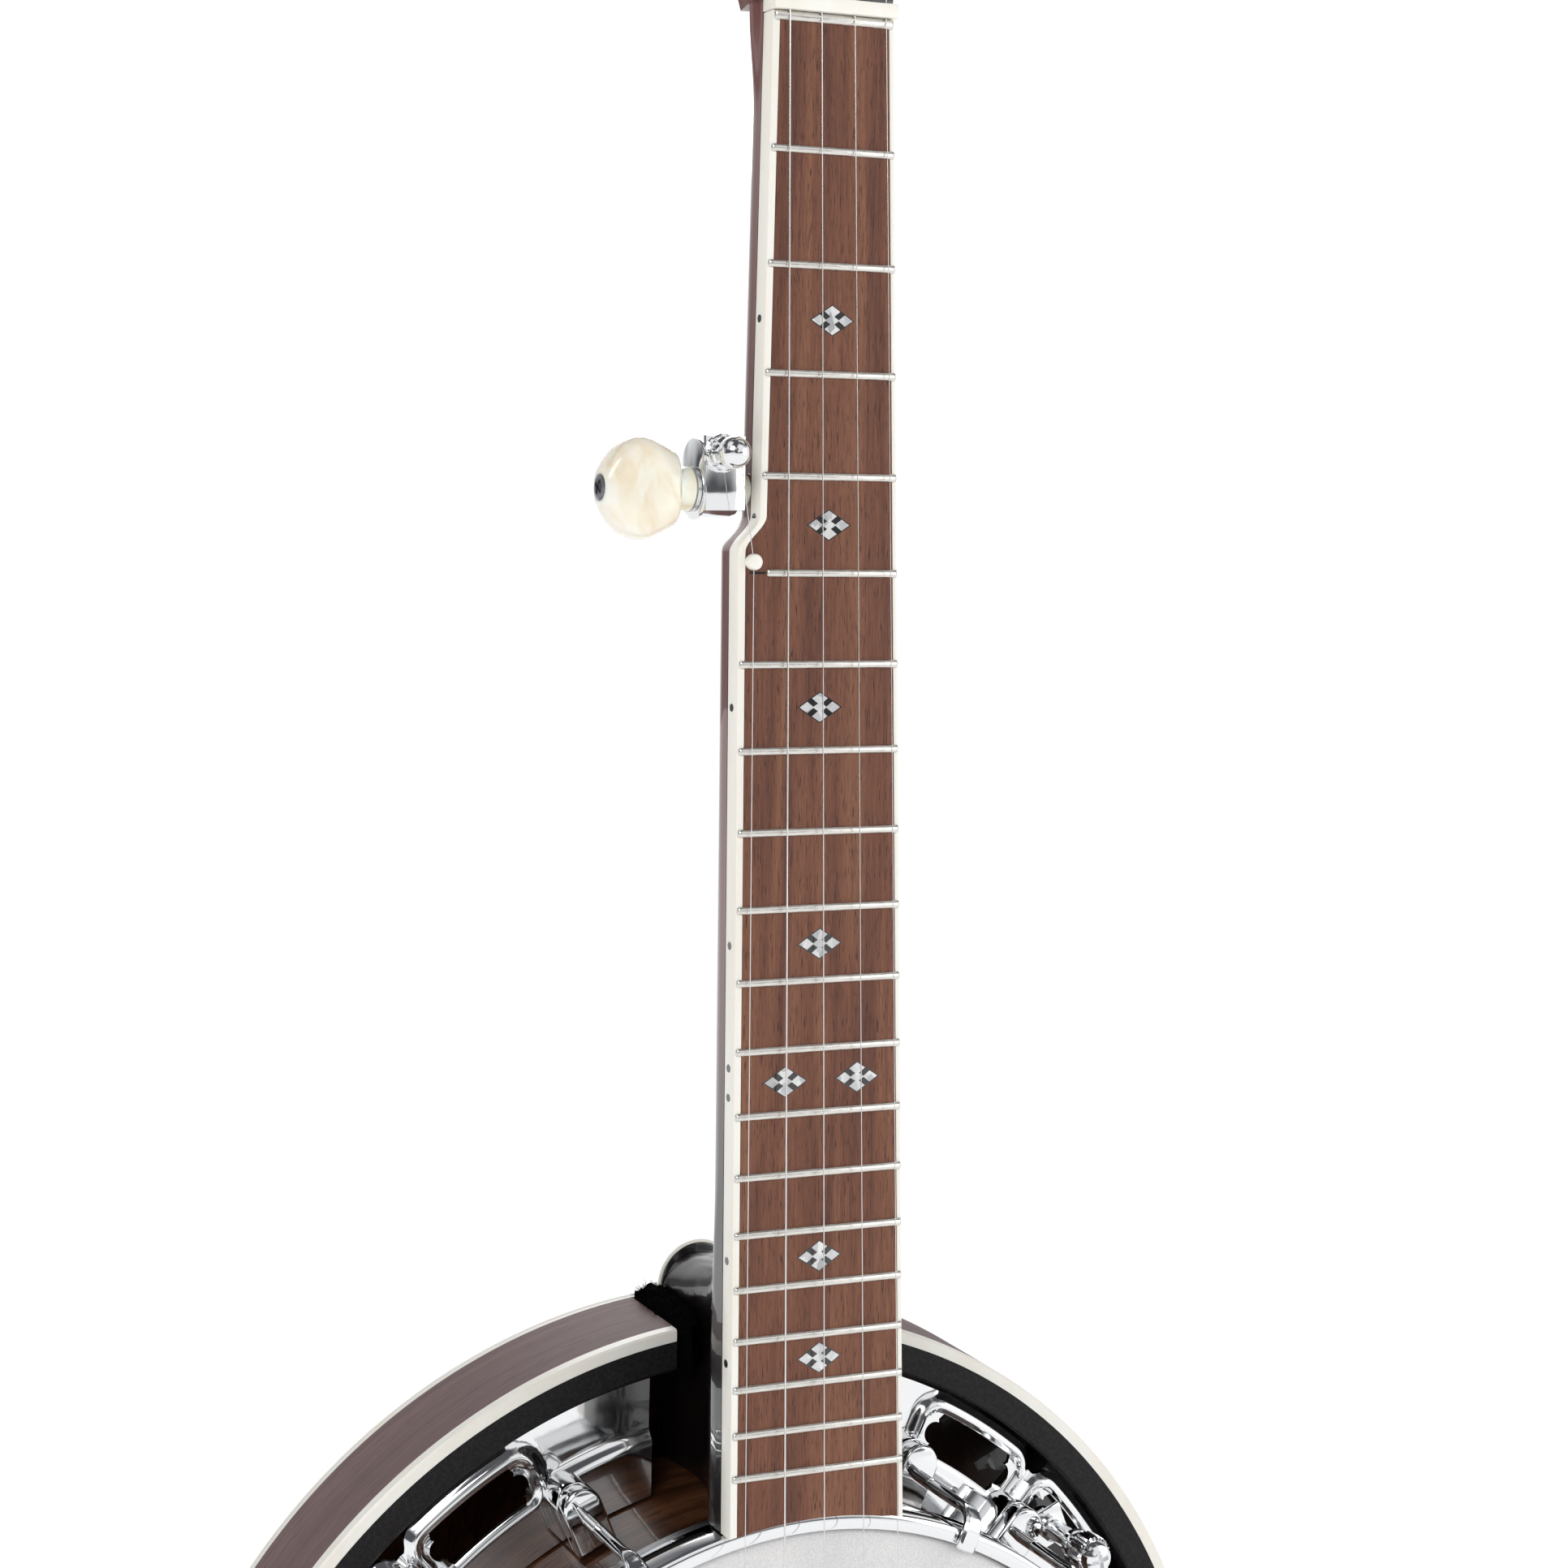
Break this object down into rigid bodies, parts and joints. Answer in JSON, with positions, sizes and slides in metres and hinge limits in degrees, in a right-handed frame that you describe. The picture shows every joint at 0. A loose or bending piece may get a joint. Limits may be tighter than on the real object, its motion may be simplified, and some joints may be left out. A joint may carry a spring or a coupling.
{
  "type": "banjo",
  "caption": "Banjo with a long fretted neck, geared tuners, a round drum-like pot under a tension hoop, a slotted flange and a closed wooden resonator.",
  "frame": {"origin": "centre of the resonator's flat back", "axes": "+Z along the neck towards the headstock, +Y out of the resonator's back, +X to the right seen from the front"},
  "size_m": [0.382, 0.1199, 0.9709],
  "materials": {
    "neck_wood": "dark gloss lacquer over maple",
    "board_wood": "oiled reddish brown rosewood with fine straight grain",
    "rim_wood": "gloss lacquer over brown maple",
    "resonator_wood": "dark mauve brown lacquer, satin on the wall and black inside",
    "back_wood": "gloss lacquer over brown mahogany",
    "ivory": "ivory coloured plastic",
    "black_lacquer": "gloss black",
    "cream": "polished cream plastic with a faint pearl cloud",
    "chrome": "polished chrome plate",
    "nickel_silver": "worn nickel silver",
    "steel": "plated steel",
    "string_steel": "plain and wound steel wire",
    "bell_brass": "bare cast bell brass",
    "aluminium": "satin aluminium",
    "mylar": "frosted white coating",
    "felt": "black fuzzy felt",
    "maple": "bare pale maple",
    "ebony": "bare ebony"
  },
  "bodies": {
    "root": {"headstock_overlay": "black_lacquer", "truss_rod_cover": "black_lacquer", "tuner_case_1": "chrome", "tuner_case_2": "chrome", "tuner_case_3": "chrome", "tuner_case_4": "chrome", "neck": "neck_wood", "truss_rod": "steel", "fretboard": "board_wood", "binding_bass": "ivory", "binding_treble": "ivory", "nut": "ivory", "zero_fret": "nickel_silver", "fifth_string_pip": "ivory", "tuner_case_5": "chrome", "fifth_tuner_spacer": "aluminium", "heel_cap": "neck_wood", "string_1": "string_steel", "string_2": "string_steel", "string_3": "string_steel", "string_4": "string_steel", "string_5": "string_steel", "rim": "rim_wood", "tone_ring": "bell_brass", "head": "mylar", "flesh_hoop": "aluminium", "tension_hoop": "chrome", "flange": "chrome", "coordinator_rod_front": "steel", "coordinator_rod_back": "steel", "armrest": "chrome", "resonator_side": "resonator_wood", "resonator_back": "back_wood", "resonator_binding_front": "ivory", "resonator_binding_back": "ivory", "notch_felt": "felt", "bridge": "maple", "bridge_top": "ebony", "tailpiece": "chrome", "tailpiece_bolt": "steel"},
    "knob_1": {"tuner_shaft_1": "steel", "tuner_button_1": "cream"},
    "post_1": {"tuner_post_1": "chrome"},
    "knob_2": {"tuner_shaft_2": "steel", "tuner_button_2": "cream"},
    "post_2": {"tuner_post_2": "chrome"},
    "knob_3": {"tuner_shaft_3": "steel", "tuner_button_3": "cream"},
    "post_3": {"tuner_post_3": "chrome"},
    "knob_4": {"tuner_shaft_4": "steel", "tuner_button_4": "cream"},
    "post_4": {"tuner_post_4": "chrome"},
    "knob_5": {"tuner_shaft_5": "steel", "tuner_button_5": "cream"},
    "post_5": {"tuner_post_5": "chrome"},
    "screw_1": {"resonator_screw_1": "chrome"},
    "screw_2": {"resonator_screw_2": "chrome"},
    "screw_3": {"resonator_screw_3": "chrome"},
    "screw_4": {"resonator_screw_4": "chrome"},
    "lid": {"tailpiece_lid": "chrome"}
  },
  "joints": [
    {"name": "knob_1_turn", "type": "hinge", "parent": "root", "child": "knob_1", "pos_m": [0.025, -0.05804, 0.64898], "axis": [1, 0, 0], "continuous": true},
    {"name": "post_1_turn", "type": "hinge", "parent": "root", "child": "post_1", "pos_m": [0.025, -0.06354, 0.66158], "axis": [0, -0.9677, 0.2521], "continuous": true},
    {"name": "knob_2_turn", "type": "hinge", "parent": "root", "child": "knob_2", "pos_m": [0.025, -0.04292, 0.70704], "axis": [1, 0, 0], "continuous": true},
    {"name": "post_2_turn", "type": "hinge", "parent": "root", "child": "post_2", "pos_m": [0.025, -0.04842, 0.71964], "axis": [0, -0.9677, 0.2521], "continuous": true},
    {"name": "knob_3_turn", "type": "hinge", "parent": "root", "child": "knob_3", "pos_m": [-0.025, -0.04292, 0.70704], "axis": [-1, 0, 0], "continuous": true},
    {"name": "post_3_turn", "type": "hinge", "parent": "root", "child": "post_3", "pos_m": [-0.025, -0.04842, 0.71964], "axis": [0, -0.9677, 0.2521], "continuous": true},
    {"name": "knob_4_turn", "type": "hinge", "parent": "root", "child": "knob_4", "pos_m": [-0.025, -0.05804, 0.64898], "axis": [-1, 0, 0], "continuous": true},
    {"name": "post_4_turn", "type": "hinge", "parent": "root", "child": "post_4", "pos_m": [-0.025, -0.06354, 0.66158], "axis": [0, -0.9677, 0.2521], "continuous": true},
    {"name": "knob_5_turn", "type": "hinge", "parent": "root", "child": "knob_5", "pos_m": [-0.0348, -0.08759, 0.46303], "axis": [-1, 0, 0], "continuous": true},
    {"name": "post_5_turn", "type": "hinge", "parent": "root", "child": "post_5", "pos_m": [-0.0348, -0.09579, 0.47407], "axis": [0, -0.9996, 0.0279], "continuous": true},
    {"name": "screw_1_turn", "type": "hinge", "parent": "root", "child": "screw_1", "pos_m": [0.1187, 0, 0.10877], "axis": [0, -1, 0], "continuous": true},
    {"name": "screw_2_turn", "type": "hinge", "parent": "root", "child": "screw_2", "pos_m": [0.12459, 0, -0.10197], "axis": [0, -1, 0], "continuous": true},
    {"name": "screw_3_turn", "type": "hinge", "parent": "root", "child": "screw_3", "pos_m": [-0.12459, 0, -0.10197], "axis": [0, -1, 0], "continuous": true},
    {"name": "screw_4_turn", "type": "hinge", "parent": "root", "child": "screw_4", "pos_m": [-0.1187, 0, 0.10877], "axis": [0, -1, 0], "continuous": true},
    {"name": "lid_hinge", "type": "hinge", "parent": "root", "child": "lid", "pos_m": [0, -0.1136, -0.1506], "axis": [1, 0, 0], "range_deg": [0, 75]}
  ],
  "couplings": [
    {"joint": "post_1_turn", "follows": "knob_1_turn", "ratio": 0.083333},
    {"joint": "post_2_turn", "follows": "knob_2_turn", "ratio": 0.083333},
    {"joint": "post_3_turn", "follows": "knob_3_turn", "ratio": 0.083333},
    {"joint": "post_4_turn", "follows": "knob_4_turn", "ratio": 0.083333},
    {"joint": "post_5_turn", "follows": "knob_5_turn", "ratio": 0.083333}
  ]
}
